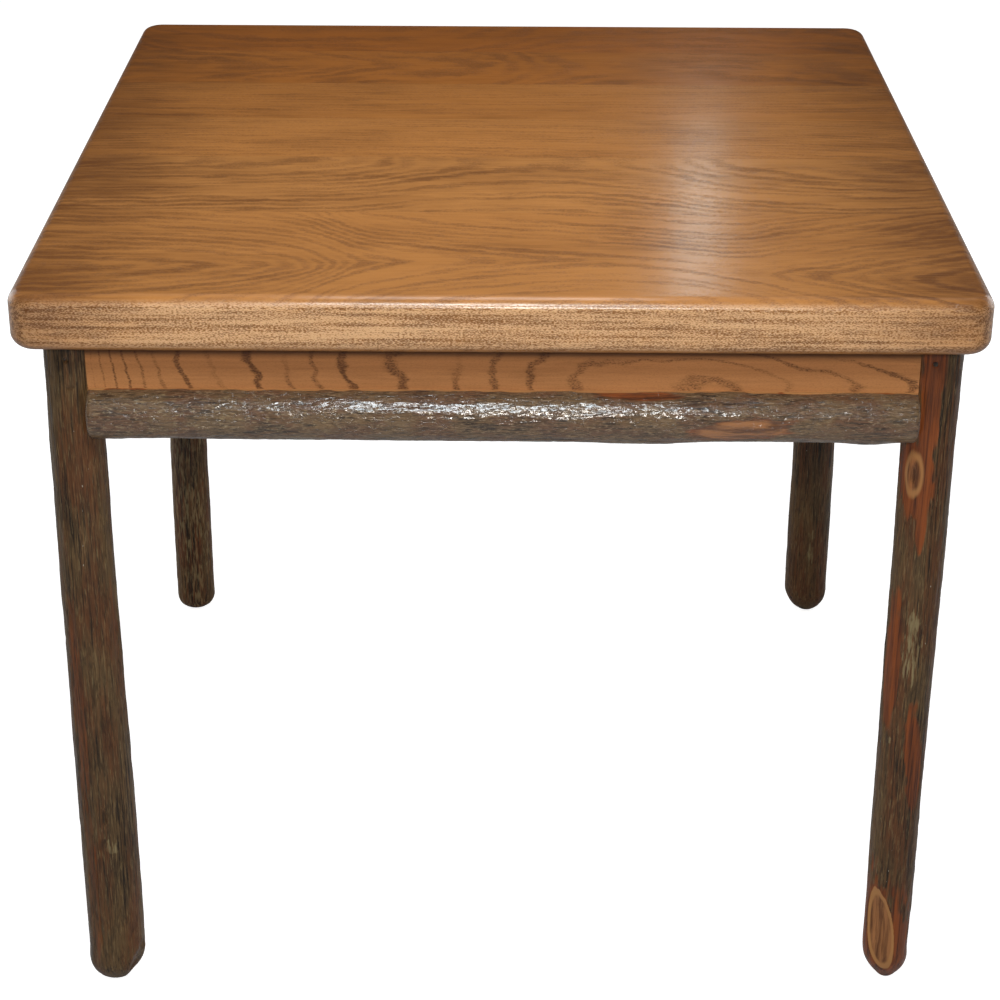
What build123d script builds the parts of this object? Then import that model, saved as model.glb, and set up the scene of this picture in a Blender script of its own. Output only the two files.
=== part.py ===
from build123d import *

import os
from dataclasses import dataclass
from math import cos, radians, sin, sqrt

# A rustic table: an oak top of six glued boards on four hickory poles with the bark left on.
# Oak aprons are tenoned into the poles, and a half-round hickory rail is screwed to each apron.
# The front and back rails stand proud of the poles, and the left and right ones lie between them.
# Millimetres, +Z up. The origin is on the floor under the middle of the top, and the front is -Y.

# ---- the top ----
TOP_WIDTH = 864.0
TOP_DEPTH = 914.0
TOP_THICKNESS = 53.0
TABLE_HEIGHT = 762.0
TOP_CORNER_RADIUS = 24.0
TOP_UPPER_ROUND = 12.0
TOP_LOWER_ROUND = 14.0
# Boards from the back to the front. The front board takes the rest of the depth.
BACK_BOARD_WIDTHS = (124.0, 131.0, 131.0, 131.0, 168.0)

# Loose tongues between the boards. They stop short of the ends, so that none shows.
SPLINE_WIDTH = 24.0
SPLINE_THICKNESS = 6.0
SPLINE_STOP = 60.0
SPLINE_SIDE_CLEARANCE = 0.1
SPLINE_EDGE_CLEARANCE = 0.5

# ---- the poles ----
LEG_INSET_X = 41.0
LEG_INSET_Y = 60.0
LEG_RADIUS = 24.5
FOOT_FLAT_RADIUS = 9.0
FOOT_ROUND_HEIGHT = 26.0
# A knife cut on the front right foot: where it starts, how deep it is at the floor, how it is turned.
FACET_TOP = 120.0
FACET_DEPTH = 10.0
FACET_TURN = 27.0

# ---- the aprons ----
APRON_HEIGHT = 92.0
APRON_THICKNESS = 19.0
# How far the front apron's face lies behind the outermost line of its poles.
FRONT_APRON_RECESS = 5.5
APRON_COPE_CLEARANCE = 0.3
TENON_THICKNESS = 10.0
TENON_SHOULDER_ABOVE = 12.0
TENON_SHOULDER_BELOW = 10.0
TENON_END_GAP = 1.5
MORTISE_SIDE_CLEARANCE = 0.15
MORTISE_END_CLEARANCE = 0.6

# ---- the half-round rails ----
RAIL_RADIUS = 24.0
# How far each rail hangs below its apron, and how its cut ends are eased.
RAIL_DROP = 5.0
RAIL_END_ROUND = 4.0
RAIL_END_CLEARANCE = 0.3
# How far the left and right rails lie behind the outermost line of their poles.
SIDE_RAIL_RECESS = 3.0

# ---- the corner blocks ----
BLOCK_STOCK = 28.0
BLOCK_HEIGHT = 45.0
BLOCK_POLE_CLEARANCE = 1.0

# ---- nails and screws ----
FASTENER_CLEARANCE = 0.1
NAIL_RADIUS = 1.4
NAIL_HEAD_RADIUS = 2.2
NAIL_HEAD_HEIGHT = 1.5
NAIL_LENGTH = 40.0
NAIL_END_DISTANCE = 6.0
# How deep the head is set below the bark, and how far its hole runs out past the head.
NAIL_SET = 0.8
NAIL_MOUTH = 5.0
# The nails of a corner pass each other at two heights, measured down from the underside of the top.
NAIL_DROP = 20.0
LOW_NAIL_DROP = 50.0

SCREW_RADIUS = 2.1
SCREW_HEAD_RADIUS = 4.0
SCREW_HEAD_HEIGHT = 2.6
SCREW_TIP = 5.0
SLOT_WIDTH = 1.0
SLOT_DEPTH = 1.2
COUNTERBORE_RADIUS = 5.0

# How far each kind of screw bites into the piece that it draws up.
RAIL_SCREW_BITE = 13.0
BLOCK_SCREW_BITE = 13.0
TOP_SCREW_BITE = 19.0
CLIP_SCREW_BITE = 18.0
RAIL_SCREW_COUNT = 4
RAIL_SCREW_END_DISTANCE = 75.0
BLOCK_SCREW_SEAT = 11.0
TOP_SCREW_COUNTERBORE = 20.0

# ---- steel clips that hold the top down on the aprons ----
CLIP_THICKNESS = 2.0
CLIP_WIDTH = 22.0
CLIP_PAD = 24.0
CLIP_STEP = 11.0
CLIP_STAND_OFF = 2.0
CLIP_OFFSET = 150.0
CLIP_HOLE_RADIUS = 2.4
KERF_HEIGHT = 3.0
KERF_DEPTH = 10.0
KERF_END_CLEARANCE = 1.5
KERF_SIDE_CLEARANCE = 3.0

# ---- what follows from them ----
UNDERSIDE = TABLE_HEIGHT - TOP_THICKNESS
LEG_X = TOP_WIDTH / 2 - LEG_INSET_X
LEG_Y = TOP_DEPTH / 2 - LEG_INSET_Y
# Each apron's face, measured outwards from the line between its poles' nominal centres.
FRONT_FACE_OUT = LEG_RADIUS - FRONT_APRON_RECESS
SIDE_FACE_OUT = LEG_RADIUS - SIDE_RAIL_RECESS - RAIL_RADIUS
APRON_BOTTOM = UNDERSIDE - APRON_HEIGHT
TENON_SETBACK = (APRON_THICKNESS - TENON_THICKNESS) / 2
# The side tenons stop just short of the front ones, which pass across their ends.
TENON_PAST_CENTRE = FRONT_FACE_OUT - TENON_SETBACK - TENON_THICKNESS - TENON_END_GAP
RAIL_Z = APRON_BOTTOM - RAIL_DROP + RAIL_RADIUS
RAIL_SCREW_LENGTH = APRON_THICKNESS + RAIL_SCREW_BITE
BLOCK_SCREW_LENGTH = BLOCK_SCREW_SEAT + BLOCK_SCREW_BITE
TOP_SCREW_LENGTH = BLOCK_HEIGHT - TOP_SCREW_COUNTERBORE + TOP_SCREW_BITE
CLIP_SCREW_LENGTH = CLIP_THICKNESS + CLIP_SCREW_BITE

LOW = Align.MIN
MID = Align.CENTER
HIGH = Align.MAX


@dataclass
class Pole:
    """A leg's corner, and how that natural pole differs from the nominal one."""

    side_x: int
    side_y: int
    shift_x: float
    extra_top: float
    extra_foot: float
    has_facet: bool = False

    @property
    def centre(self):
        return Vector(self.side_x * LEG_X + self.shift_x, self.side_y * LEG_Y, 0)

    def radius_at(self, height):
        share = height / UNDERSIDE
        return LEG_RADIUS + self.extra_foot * (1 - share) + self.extra_top * share


POLES = {
    "front_left": Pole(-1, -1, 3.5, 0.0, 3.5),
    "front_right": Pole(1, -1, 1.0, 0.5, -1.5, has_facet=True),
    "back_left": Pole(-1, 1, -5.0, -2.0, -1.0),
    "back_right": Pole(1, 1, 5.0, 1.5, 1.5),
}


@dataclass
class Side:
    """One side of the frame. Its pieces are drawn as the front's, then turned about the Z axis."""

    turn: float
    span: float
    pole_line: float
    face_out: float
    poles: tuple
    nail_drop: float

    @property
    def place(self):
        return Rot(0, 0, self.turn)

    @property
    def face_y(self):
        return -(self.pole_line + self.face_out)

    @property
    def inner_y(self):
        return self.face_y + APRON_THICKNESS

    def pole_centre(self, pole):
        return pole.centre.rotate(Axis.Z, -self.turn)

    def pole_edge(self, pole):
        """How far the pole reaches along the side, from its centre, in front of the apron's face."""
        face_past_centre = max(0, self.pole_centre(pole).Y - self.face_y)
        return sqrt(pole.radius_at(RAIL_Z) ** 2 - face_past_centre ** 2)


SIDES = {
    "front": Side(0, LEG_X, LEG_Y, FRONT_FACE_OUT, ("front_left", "front_right"), NAIL_DROP),
    "right": Side(90, LEG_Y, LEG_X, SIDE_FACE_OUT, ("front_right", "back_right"), LOW_NAIL_DROP),
    "back": Side(180, LEG_X, LEG_Y, FRONT_FACE_OUT, ("back_right", "back_left"), NAIL_DROP),
    "left": Side(270, LEG_Y, LEG_X, SIDE_FACE_OUT, ("back_left", "front_left"), LOW_NAIL_DROP),
}


# ---- fasteners, drawn with the head's outer face at the origin and the shank down -Z ----


def turned(points):
    """A solid of revolution about the Z axis from a closed outline of (radius, height) points."""
    outline = Polyline(*points, close=True)
    return revolve(Plane.XZ * make_face(outline), Axis.Z)


def drive_slot():
    """The slot for a screwdriver, cut down from a head's outer face."""
    return Box(3 * SCREW_HEAD_RADIUS, SLOT_WIDTH, 2 * SLOT_DEPTH)


def wood_screw_blank(length, grow=0.0):
    """A countersunk screw without its slot."""
    shank = SCREW_RADIUS + grow
    head = SCREW_HEAD_RADIUS + grow
    return turned([
        (0, 0),
        (head, 0),
        (shank, -SCREW_HEAD_HEIGHT),
        (shank, SCREW_TIP - length - grow),
        (0, -length - grow),
    ])


def pan_screw_blank(length, grow=0.0):
    """A flat-headed screw without its slot, with the seat of its head at the origin."""
    shank = SCREW_RADIUS + grow
    head = SCREW_HEAD_RADIUS + grow
    return turned([
        (0, SCREW_HEAD_HEIGHT),
        (head, SCREW_HEAD_HEIGHT),
        (head, 0),
        (shank, 0),
        (shank, SCREW_TIP - length - grow),
        (0, -length - grow),
    ])


def nail_blank(grow=0.0):
    """A finishing nail."""
    shank = NAIL_RADIUS + grow
    head = NAIL_HEAD_RADIUS + grow
    return turned([
        (0, 0),
        (head, 0),
        (head, -NAIL_HEAD_HEIGHT),
        (shank, -NAIL_HEAD_HEIGHT),
        (shank, -NAIL_LENGTH - grow),
        (0, -NAIL_LENGTH - grow),
    ])


def wood_screw(length):
    return wood_screw_blank(length) - drive_slot()


def pan_screw(length):
    return pan_screw_blank(length) - Pos(0, 0, SCREW_HEAD_HEIGHT) * drive_slot()


def wood_screw_hole(length):
    return wood_screw_blank(length, FASTENER_CLEARANCE)


def pan_screw_hole(length):
    return pan_screw_blank(length, FASTENER_CLEARANCE)


def nail_hole():
    """A nail's hole, open to the outside over the sunk head."""
    radius = NAIL_HEAD_RADIUS + FASTENER_CLEARANCE
    return nail_blank(FASTENER_CLEARANCE) + Cylinder(radius, NAIL_MOUTH, align=(MID, MID, LOW))


def counterbore(depth):
    """The wide hole above a sunk screw head."""
    return Cylinder(COUNTERBORE_RADIUS, depth, align=(MID, MID, LOW))


# ---- where the fasteners go ----


def nail_places(side):
    """One nail through each pole and the tenon inside it, driven from outside."""
    height = UNDERSIDE - side.nail_drop
    places = []
    for end, name in zip((-1, 1), side.poles):
        pole = POLES[name]
        centre = side.pole_centre(pole)
        along = end * (tenon_reach(side) - NAIL_END_DISTANCE)
        bulge = sqrt(pole.radius_at(height) ** 2 - (along - centre.X) ** 2)
        head = Vector(along, centre.Y - bulge + NAIL_SET, height)
        places.append(side.place * Plane(origin=head, z_dir=(0, -1, 0)).location)
    return places


def rail_screw_places(side):
    """A row of screws from inside the apron into the rail."""
    first, last = rail_ends(side)
    first += RAIL_SCREW_END_DISTANCE
    last -= RAIL_SCREW_END_DISTANCE
    pitch = (last - first) / (RAIL_SCREW_COUNT - 1)
    heads = [Vector(first + n * pitch, side.inner_y, RAIL_Z) for n in range(RAIL_SCREW_COUNT)]
    return [side.place * Plane(origin=head, z_dir=(0, 1, 0)).location for head in heads]


def clip_places(side):
    """The origin of each clip: on the apron's inner face, level with the underside of the top."""
    return [side.place * Pos(end * CLIP_OFFSET, side.inner_y, UNDERSIDE) for end in (-1, 1)]


def clip_screw_place(clip_place):
    """A clip's screw, seated on the underside of its pad and driven up into the top."""
    return clip_place * Pos(0, CLIP_STAND_OFF + CLIP_PAD / 2, -CLIP_THICKNESS) * Rot(180, 0, 0)


def all_places(places_of):
    """The places that one function gives for every side."""
    return [place for side in SIDES.values() for place in places_of(side)]


def copies(shape, places):
    """One shape at each of several places."""
    return [place * shape for place in places]


# ---- the top ----


def slab():
    """The whole top before it is cut into its boards."""
    block = Pos(0, 0, UNDERSIDE) * Box(TOP_WIDTH, TOP_DEPTH, TOP_THICKNESS, align=(MID, MID, LOW))
    block = fillet(block.edges().filter_by(Axis.Z), TOP_CORNER_RADIUS)
    block = fillet(block.faces().sort_by(Axis.Z)[-1].edges(), TOP_UPPER_ROUND)
    return fillet(block.faces().sort_by(Axis.Z)[0].edges(), TOP_LOWER_ROUND)


def seam_positions():
    """The glue lines between the boards, as Y positions from the back to the front."""
    seams = []
    edge = TOP_DEPTH / 2
    for width in BACK_BOARD_WIDTHS:
        edge -= width
        seams.append(edge)
    return seams


def spline(seam, side_gap=0.0, edge_gap=0.0):
    """A loose tongue across one glue line, or with gaps the groove that holds it."""
    length = TOP_WIDTH - 2 * SPLINE_STOP + 2 * edge_gap
    width = SPLINE_WIDTH + 2 * edge_gap
    thickness = SPLINE_THICKNESS + 2 * side_gap
    return Pos(0, seam, UNDERSIDE + TOP_THICKNESS / 2) * Box(length, width, thickness)


def top_boards():
    """The boards of the top, from the back to the front, with grooves and screw holes."""
    whole = slab()
    grooves = [spline(seam, SPLINE_SIDE_CLEARANCE, SPLINE_EDGE_CLEARANCE) for seam in seam_positions()]
    holes = copies(wood_screw_hole(TOP_SCREW_LENGTH), top_screw_places())
    holes += copies(pan_screw_hole(CLIP_SCREW_LENGTH), clip_screw_places())
    edges = [TOP_DEPTH / 2] + seam_positions() + [-TOP_DEPTH / 2]
    boards = []
    for back, front in zip(edges, edges[1:]):
        cut = Pos(0, front, 0) * Box(TOP_WIDTH, back - front, TABLE_HEIGHT, align=(MID, LOW, LOW))
        boards.append((whole & cut) - grooves - holes)
    return boards


# ---- poles, aprons and rails ----


def pole_blank(pole, grow=0.0):
    """The round pole with its eased foot, before anything is cut into it."""
    foot = pole.radius_at(FOOT_ROUND_HEIGHT) + grow
    top = pole.radius_at(UNDERSIDE) + grow
    shoulder = (foot, FOOT_ROUND_HEIGHT)
    sole = (FOOT_FLAT_RADIUS, 0)
    straight = Polyline(shoulder, (top, UNDERSIDE), (0, UNDERSIDE), (0, 0), sole)
    easing = TangentArc(shoulder, sole, tangent=(0, -1))
    outline = Plane.XZ * make_face([straight, easing])
    return Pos(*pole.centre) * revolve(outline, Axis.Z)


def facet_cut(pole):
    """What the slanting knife cut takes off a foot."""
    turn = radians(FACET_TURN)
    outwards = Vector(-sin(turn), -cos(turn), 0)
    start = pole.centre + outwards * pole.radius_at(FACET_TOP) + Vector(0, 0, FACET_TOP)
    normal = outwards * FACET_TOP - Vector(0, 0, FACET_DEPTH)
    size = 3 * FACET_TOP
    return Plane(origin=start, z_dir=normal) * Box(size, size, size, align=(MID, MID, LOW))


def tenon_reach(side):
    """How far a side's tenons reach from its middle."""
    return side.span + TENON_PAST_CENTRE


def tenon_bar(side, side_gap=0.0, end_gap=0.0):
    """A bar through the whole apron that stands out at both ends as its tenons."""
    length = 2 * (tenon_reach(side) + end_gap)
    thickness = TENON_THICKNESS + 2 * side_gap
    height = APRON_HEIGHT - TENON_SHOULDER_ABOVE - TENON_SHOULDER_BELOW + 2 * side_gap
    low = APRON_BOTTOM + TENON_SHOULDER_BELOW - side_gap
    front = side.face_y + TENON_SETBACK - side_gap
    return side.place * Pos(0, front, low) * Box(length, thickness, height, align=(MID, LOW, LOW))


def leg(name):
    """A pole with its two mortises and the holes of the nails that hold the tenons."""
    pole = POLES[name]
    solid = pole_blank(pole)
    if pole.has_facet:
        solid -= facet_cut(pole)
    for side in SIDES.values():
        if name in side.poles:
            solid -= tenon_bar(side, MORTISE_SIDE_CLEARANCE, MORTISE_END_CLEARANCE)
            end = side.poles.index(name)
            solid -= nail_places(side)[end] * nail_hole()
    return solid


def apron(side):
    """An oak apron: coped round its two poles, tenoned into them, and kerfed for the clips."""
    size = (2 * side.span, APRON_THICKNESS, APRON_HEIGHT)
    board = side.place * Pos(0, side.face_y, APRON_BOTTOM) * Box(*size, align=(MID, LOW, LOW))
    board -= [pole_blank(POLES[name], APRON_COPE_CLEARANCE) for name in side.poles]
    board += tenon_bar(side)
    board -= copies(kerf(), clip_places(side))
    board -= copies(nail_hole(), nail_places(side))
    board -= copies(wood_screw_hole(RAIL_SCREW_LENGTH), rail_screw_places(side))
    board -= copies(wood_screw_hole(BLOCK_SCREW_LENGTH), block_screw_places(side))
    return board


def rail_ends(side):
    """Where a rail starts and ends along its side: where its poles pass the apron's face."""
    first, last = (POLES[name] for name in side.poles)
    start = side.pole_centre(first).X + side.pole_edge(first) + RAIL_END_CLEARANCE
    stop = side.pole_centre(last).X - side.pole_edge(last) - RAIL_END_CLEARANCE
    return start, stop


def rail(side):
    """A half-round hickory rail with its flat back on the apron."""
    start, stop = rail_ends(side)
    pole = Cylinder(RAIL_RADIUS, stop - start, rotation=(0, 90, 0))
    half = pole & Box(stop - start, 2 * RAIL_RADIUS, 2 * RAIL_RADIUS, align=(MID, HIGH, MID))
    ends = half.faces().filter_by(Axis.X).edges().filter_by(GeomType.CIRCLE)
    half = fillet(ends, RAIL_END_ROUND)
    half = side.place * Pos((start + stop) / 2, side.face_y, RAIL_Z) * half
    return half - copies(wood_screw_hole(RAIL_SCREW_LENGTH), rail_screw_places(side))


# ---- corner blocks ----


def block_corner(pole):
    """The inner corner of the frame beside a pole."""
    x = LEG_X + SIDE_FACE_OUT - APRON_THICKNESS
    y = LEG_Y + FRONT_FACE_OUT - APRON_THICKNESS
    return Vector(pole.side_x * x, pole.side_y * y, 0)


def block_reach(pole):
    """Where a block's two long faces meet the aprons, as distances from the frame's inner corner."""
    from_pole = block_corner(pole) - pole.centre
    outwards = pole.side_x * from_pole.X + pole.side_y * from_pole.Y
    radius = max(pole.radius_at(UNDERSIDE), pole.radius_at(UNDERSIDE - BLOCK_HEIGHT))
    near = outwards + (radius + BLOCK_POLE_CLEARANCE) * sqrt(2)
    return near, near + BLOCK_STOCK * sqrt(2)


def block_screw_places(side):
    """The screws that hold a block at each end of a side, square to the apron."""
    height = UNDERSIDE - BLOCK_HEIGHT / 2
    places = []
    for end, name in zip((-1, 1), side.poles):
        near, far = block_reach(POLES[name])
        corner = block_corner(POLES[name]).rotate(Axis.Z, -side.turn)
        along = corner.X - end * (near + far) / 2
        head = Vector(along, side.inner_y + BLOCK_SCREW_SEAT, height)
        places.append(side.place * Plane(origin=head, z_dir=(0, 1, 0)).location)
    return places


def top_screw_place(pole):
    """The screw that goes up through a block into the top."""
    near, far = block_reach(pole)
    inwards = (near + far) / 4
    shift = Vector(-pole.side_x * inwards, -pole.side_y * inwards, UNDERSIDE - BLOCK_HEIGHT)
    return Pos(*(block_corner(pole) + shift)) * Pos(0, 0, TOP_SCREW_COUNTERBORE) * Rot(180, 0, 0)


def top_screw_places():
    return [top_screw_place(pole) for pole in POLES.values()]


def clip_screw_places():
    return [clip_screw_place(place) for place in all_places(clip_places)]


def corner_block(name):
    """A block glued and screwed across a corner of the frame."""
    pole = POLES[name]
    near, far = block_reach(pole)
    x, y = -pole.side_x, -pole.side_y
    outline = Polyline((x * near, 0), (x * far, 0), (0, y * far), (0, y * near), close=True)
    block = extrude(make_face(outline), BLOCK_HEIGHT, dir=(0, 0, 1))
    block = Pos(*block_corner(pole)) * Pos(0, 0, UNDERSIDE - BLOCK_HEIGHT) * block
    for side in SIDES.values():
        if name in side.poles:
            place = block_screw_places(side)[side.poles.index(name)]
            block -= place * wood_screw_hole(BLOCK_SCREW_LENGTH)
            block -= place * counterbore(far)
    place = top_screw_place(pole)
    return block - place * wood_screw_hole(TOP_SCREW_LENGTH) - place * counterbore(BLOCK_HEIGHT)


# ---- clips ----


def clip():
    """A stepped steel clip: a pad under the top, and a tongue in the apron's kerf."""
    tongue = KERF_DEPTH - KERF_END_CLEARANCE
    riser = CLIP_STAND_OFF + CLIP_THICKNESS
    outline = Polyline(
        (-tongue, -CLIP_STEP),
        (CLIP_STAND_OFF, -CLIP_STEP),
        (CLIP_STAND_OFF, 0),
        (CLIP_STAND_OFF + CLIP_PAD, 0),
        (CLIP_STAND_OFF + CLIP_PAD, -CLIP_THICKNESS),
        (riser, -CLIP_THICKNESS),
        (riser, -CLIP_STEP - CLIP_THICKNESS),
        (-tongue, -CLIP_STEP - CLIP_THICKNESS),
        close=True,
    )
    strip = extrude(Plane.YZ * make_face(outline), CLIP_WIDTH / 2, both=True)
    hole = Pos(0, CLIP_STAND_OFF + CLIP_PAD / 2, 0) * Cylinder(CLIP_HOLE_RADIUS, 2 * CLIP_STEP)
    return strip - hole


def kerf():
    """The slot in an apron for one clip's tongue."""
    size = (CLIP_WIDTH + 2 * KERF_SIDE_CLEARANCE, KERF_DEPTH, KERF_HEIGHT)
    return Pos(0, 0, -CLIP_STEP) * Box(*size, align=(MID, HIGH, HIGH))


# ---- the assembly ----


def table_nodes():
    """Every node's name and its solid, or its group of like solids."""
    nodes = {f"top_board_{number}": board for number, board in enumerate(top_boards(), 1)}
    nodes["top_splines"] = Compound(children=[spline(seam) for seam in seam_positions()])
    for name in POLES:
        nodes[f"leg_{name}"] = leg(name)
        nodes[f"corner_block_{name}"] = corner_block(name)
    for name, side in SIDES.items():
        nodes[f"apron_{name}"] = apron(side)
        nodes[f"rail_{name}"] = rail(side)
    groups = {
        "tenon_nails": (nail_blank(), all_places(nail_places)),
        "rail_screws": (wood_screw(RAIL_SCREW_LENGTH), all_places(rail_screw_places)),
        "block_screws": (wood_screw(BLOCK_SCREW_LENGTH), all_places(block_screw_places)),
        "top_screws": (wood_screw(TOP_SCREW_LENGTH), top_screw_places()),
        "top_clips": (clip(), all_places(clip_places)),
        "clip_screws": (pan_screw(CLIP_SCREW_LENGTH), clip_screw_places()),
    }
    for name, (piece, places) in groups.items():
        nodes[name] = Compound(children=copies(piece, places))
    return nodes


def main():
    os.makedirs("parts", exist_ok=True)
    for name, shape in table_nodes().items():
        export_step(shape, f"parts/{name}.step")


main()
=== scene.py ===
from dataclasses import dataclass
from itertools import product
from math import pi, radians, sqrt

import bpy
import numpy as np
from mathutils import Matrix, Vector


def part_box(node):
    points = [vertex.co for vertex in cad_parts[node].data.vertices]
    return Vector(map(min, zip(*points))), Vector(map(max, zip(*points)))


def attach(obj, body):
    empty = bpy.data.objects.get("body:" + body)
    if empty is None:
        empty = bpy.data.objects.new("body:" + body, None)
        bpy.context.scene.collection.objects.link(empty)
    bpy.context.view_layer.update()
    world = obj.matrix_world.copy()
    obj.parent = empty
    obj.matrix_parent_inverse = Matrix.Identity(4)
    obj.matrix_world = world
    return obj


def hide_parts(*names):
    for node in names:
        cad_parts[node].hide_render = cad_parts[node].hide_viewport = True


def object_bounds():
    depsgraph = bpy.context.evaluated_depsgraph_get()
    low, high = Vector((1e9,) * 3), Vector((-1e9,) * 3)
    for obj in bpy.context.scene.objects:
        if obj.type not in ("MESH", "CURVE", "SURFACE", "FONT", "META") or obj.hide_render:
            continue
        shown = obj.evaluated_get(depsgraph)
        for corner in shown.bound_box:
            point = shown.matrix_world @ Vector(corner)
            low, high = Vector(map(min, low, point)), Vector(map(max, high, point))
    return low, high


# A rustic table: an oak top and aprons, and four poles and four half-round rails of hickory with
# their bark on. Metres in the table's frame, except that the hickory is shaped in millimetres.

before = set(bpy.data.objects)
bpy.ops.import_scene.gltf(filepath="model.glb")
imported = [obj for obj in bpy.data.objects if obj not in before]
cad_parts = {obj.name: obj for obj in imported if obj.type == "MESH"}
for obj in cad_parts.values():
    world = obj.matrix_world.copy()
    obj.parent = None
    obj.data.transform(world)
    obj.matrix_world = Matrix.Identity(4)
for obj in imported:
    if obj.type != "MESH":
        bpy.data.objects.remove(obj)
CAD_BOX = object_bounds()
MM = 0.001


# ---- small helpers ----


def colour(red, green, blue):
    """A screen colour from 0 to 255 as the linear colour that a shader takes."""
    shares = [part / 255 for part in (red, green, blue)]
    linear = [s / 12.92 if s < 0.04045 else ((s + 0.055) / 1.055) ** 2.4 for s in shares]
    return (*linear, 1.0)


def smooth(value, low, high):
    """0 at low, 1 at high and smooth between."""
    share = np.clip((value - low) / (high - low), 0, 1)
    return share * share * (3 - 2 * share)


def scattered(cells, seed):
    """A fixed random number between -1 and 1 for each whole-numbered cell."""
    mixed = cells @ np.array([73856093, 19349663, 83492791]) + seed * 40503
    for step in (2246822519, 3266489917):
        mixed = (mixed ^ (mixed >> 15)) * step & 0xFFFFFFFF
    return (mixed ^ (mixed >> 16)) / 0x7FFFFFFF - 1


def noise(points, sizes, seed):
    """Smooth noise between -1 and 1 whose lumps have the given sizes along the three axes."""
    points = points / np.array(sizes)
    cell = np.floor(points).astype(np.int64)
    share = smooth(points - cell, 0, 1)
    total = np.zeros(points.shape[:-1])
    for corner in product((0, 1), repeat=3):
        weight = np.prod(np.where(corner, share, 1 - share), axis=-1)
        total += weight * scattered(cell + np.array(corner), seed)
    return total


# ---- material graphs ----


class Wire:
    """A socket of a material graph that can stand in a formula."""

    def __init__(self, graph, socket):
        self.graph = graph
        self.socket = socket

    def __add__(self, other):
        return self.graph.math("ADD", self, other)

    def __sub__(self, other):
        return self.graph.math("SUBTRACT", self, other)

    def __rsub__(self, other):
        return self.graph.math("SUBTRACT", other, self)

    def __mul__(self, other):
        return self.graph.math("MULTIPLY", self, other)

    def __truediv__(self, other):
        return self.graph.math("DIVIDE", self, other)

    __radd__ = __add__
    __rmul__ = __mul__


class Graph:
    """The node graph of one procedural material, or of the world."""

    def __init__(self, owner):
        owner.use_nodes = True
        self.owner = owner
        self.tree = owner.node_tree
        self.shader = self.tree.nodes.get("Principled BSDF")

    def feed(self, socket, value):
        if isinstance(value, Wire):
            self.tree.links.new(value.socket, socket)
        else:
            socket.default_value = value

    def node(self, kind, inputs, output=0, **settings):
        """A new node with these inputs, as the wire of one of its outputs."""
        node = self.tree.nodes.new("ShaderNode" + kind)
        for key, value in settings.items():
            setattr(node, key, value)
        for key, value in inputs.items():
            self.feed(node.inputs[key], value)
        return Wire(self, node.outputs[output])

    def math(self, operation, *values):
        return self.node("Math", dict(enumerate(values)), operation=operation)

    def place(self, axes, kind="Object"):
        """The coordinates of the point that is coloured, in the order of the named axes."""
        point = self.node("TexCoord", {}, output=kind)
        return [self.node("SeparateXYZ", {0: point}, output=axis) for axis in axes]

    def noise(self, x, y, z, detail=2.0, roughness=0.5):
        """Smooth noise about zero, with one lump per unit of each coordinate."""
        vector = self.node("CombineXYZ", {0: x, 1: y, 2: z})
        inputs = {"Vector": vector, "Scale": 1.0, "Detail": detail, "Roughness": roughness}
        return self.node("TexNoise", inputs) - 0.5

    def rise(self, value, low, high):
        """0 below low, 1 above high and smooth between."""
        inputs = {"Value": value, "From Min": low, "From Max": high}
        return self.node("MapRange", inputs, interpolation_type="SMOOTHSTEP")

    def band(self, value, low, full, fading, gone):
        """A smooth band that rises from low to full and falls from fading to gone."""
        return self.rise(value, low, full) * (1 - self.rise(value, fading, gone))

    def blend(self, share, first, second):
        return self.node("Mix", {0: share, 6: first, 7: second}, output=2, data_type="RGBA")

    def attribute(self, name):
        return self.node("Attribute", {}, output="Fac", attribute_name=name)

    def profile(self, share, points):
        """A smooth curve through (share, value) points, where share runs from 0 to 1."""
        values = [value for _, value in points]
        low = min(values)
        extent = max(max(values) - low, 1e-6)
        node = self.tree.nodes.new("ShaderNodeFloatCurve")
        line = node.mapping.curves[0]
        for _ in points[2:]:
            line.points.new(0.5, 0.5)
        for knob, (where, value) in zip(line.points, points):
            knob.location = (where, (value - low) / extent)
        node.mapping.update()
        self.feed(node.inputs["Value"], share)
        return Wire(self, node.outputs[0]) * extent + low

    def finish(self, tone, roughness, height, relief, varnish=None, **shader):
        """Colour, roughness and bump for the shader, whose other sockets take plain values.

        varnish is the height of a coat that lies smoother than what it covers.
        """
        self.feed(self.shader.inputs["Base Color"], tone)
        self.feed(self.shader.inputs["Roughness"], roughness)
        bump = self.node("Bump", {"Strength": 1.0, "Distance": relief, "Height": height})
        coat = bump
        if varnish is not None:
            coat = self.node("Bump", {"Strength": 1.0, "Distance": relief, "Height": varnish})
        self.feed(self.shader.inputs["Normal"], bump)
        self.feed(self.shader.inputs["Coat Normal"], coat)
        for key, value in shader.items():
            self.shader.inputs[key.replace("_", " ")].default_value = value
        return self.owner


# ---- oak ----

# A corner so high up that no painted shade falls below it.
NO_CORNER = 9.0


@dataclass
class Grain:
    """How a board was sawn from its log.

    axes names the directions along the board, across it and through it. length is where it starts
    and stops, face where its outer face lies, and thickness how far from that the other face lies.
    pith, depth and drift are (share of the length, metres) points: where the log's middle lies
    across the board, how far it lies below the face, and how far the rings move along the board.
    Painted shade darkens the board below corner, the height at which the board meets the underside
    of the top, where the top's shadow would fall. light is the board's own colour, where it differs
    from its finish's.
    """

    axes: str
    length: tuple
    face: float
    thickness: float
    pith: tuple
    depth: tuple
    drift: tuple
    spacing: float = 0.010
    wobble: float = 0.006
    contrast: float = 1.0
    seed: float = 0.0
    corner: float = NO_CORNER
    light: tuple = None


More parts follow.
